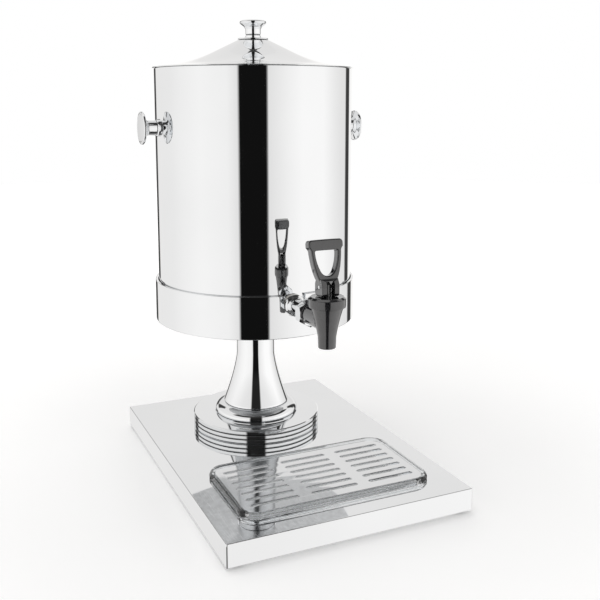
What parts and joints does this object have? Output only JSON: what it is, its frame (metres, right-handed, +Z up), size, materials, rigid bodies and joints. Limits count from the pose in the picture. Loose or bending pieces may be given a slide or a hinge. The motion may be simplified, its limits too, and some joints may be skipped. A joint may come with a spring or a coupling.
{
  "type": "countertop drinks dispenser",
  "caption": "Polished steel countertop drinks dispenser: lidded vessel in a cup on a trumpet pedestal, self-closing black tap, and a slotted drip tray in a folded base.",
  "frame": {"origin": "on the surface it stands on, under the middle of its bounding box", "axes": "+Z up, the tap and drip tray towards -Y, a side handle towards +X and one towards -X"},
  "size_m": [0.266, 0.3768, 0.5005],
  "materials": {
    "polished_steel": "mirror-polished stainless steel sheet",
    "grille_steel": "bright polished stainless plate with slots",
    "plain_steel": "plain turned or pressed steel",
    "chrome_trim": "bright chrome plating on turned parts",
    "black_plastic": "glossy black moulded plastic",
    "clear_tray": "clear moulded plastic",
    "silicone": "matte translucent silicone",
    "foot_rubber": "matte black rubber"
  },
  "bodies": {
    "stand": {"base_shell": "polished_steel", "base_stiffener": "plain_steel", "foot_front_left": "foot_rubber", "foot_front_right": "foot_rubber", "foot_rear_left": "foot_rubber", "foot_rear_right": "foot_rubber", "ribbed_plinth": "polished_steel", "pedestal_collar": "chrome_trim", "pedestal_column": "chrome_trim", "tie_rod": "plain_steel", "tie_rod_lower_washer": "plain_steel", "tie_rod_lower_nut": "plain_steel", "tie_rod_upper_washer": "plain_steel", "tie_rod_upper_nut": "plain_steel", "support_cup": "polished_steel"},
    "vessel": {"vessel_shell": "polished_steel", "left_handle_knob": "chrome_trim", "left_handle_collar": "chrome_trim", "left_handle_seal": "silicone", "left_handle_screw": "plain_steel", "right_handle_knob": "chrome_trim", "right_handle_collar": "chrome_trim", "right_handle_seal": "silicone", "right_handle_screw": "plain_steel", "tap_shank": "chrome_trim", "tap_outer_seal": "silicone", "tap_inner_seal": "silicone", "tap_inner_nut": "plain_steel", "tap_coupling_nut": "chrome_trim", "tap_body": "black_plastic", "tap_bonnet": "black_plastic", "valve_spring": "plain_steel"},
    "lid": {"lid_shell": "polished_steel", "knob_washer": "chrome_trim", "lid_knob": "chrome_trim", "knob_screw_washer": "plain_steel", "knob_screw": "plain_steel"},
    "valve": {"valve_stem": "black_plastic", "seat_cup": "silicone", "lever_pin": "chrome_trim"},
    "lever": {"tap_lever": "black_plastic"},
    "tray": {"drip_tray": "clear_tray"},
    "grille": {"drip_grille": "grille_steel"}
  },
  "joints": [
    {"name": "vessel_lift", "type": "slide", "parent": "stand", "child": "vessel", "axis": [0, 0, 1], "range_m": [0, 0.06]},
    {"name": "lid_lift", "type": "slide", "parent": "vessel", "child": "lid", "axis": [0, 0, 1], "range_m": [0, 0.06]},
    {"name": "valve_lift", "type": "slide", "parent": "vessel", "child": "valve", "axis": [0, 0, 1], "range_m": [0, 0.0032], "deforming": ["valve_spring"]},
    {"name": "lever_tilt", "type": "hinge", "parent": "valve", "child": "lever", "pos_m": [0, -0.121, 0.231], "axis": [1, 0, 0], "range_deg": [0, 35], "stiffness_Nm_per_rad": 0.12, "springref_deg": -22.92},
    {"name": "tray_lift", "type": "slide", "parent": "stand", "child": "tray", "axis": [0, 0, 1], "range_m": [0, 0.05]},
    {"name": "grille_lift", "type": "slide", "parent": "tray", "child": "grille", "axis": [0, 0, 1], "range_m": [0, 0.03]}
  ],
  "couplings": [
    {"joint": "valve_lift", "follows": "lever_tilt", "m_per_rad": 0.005}
  ]
}
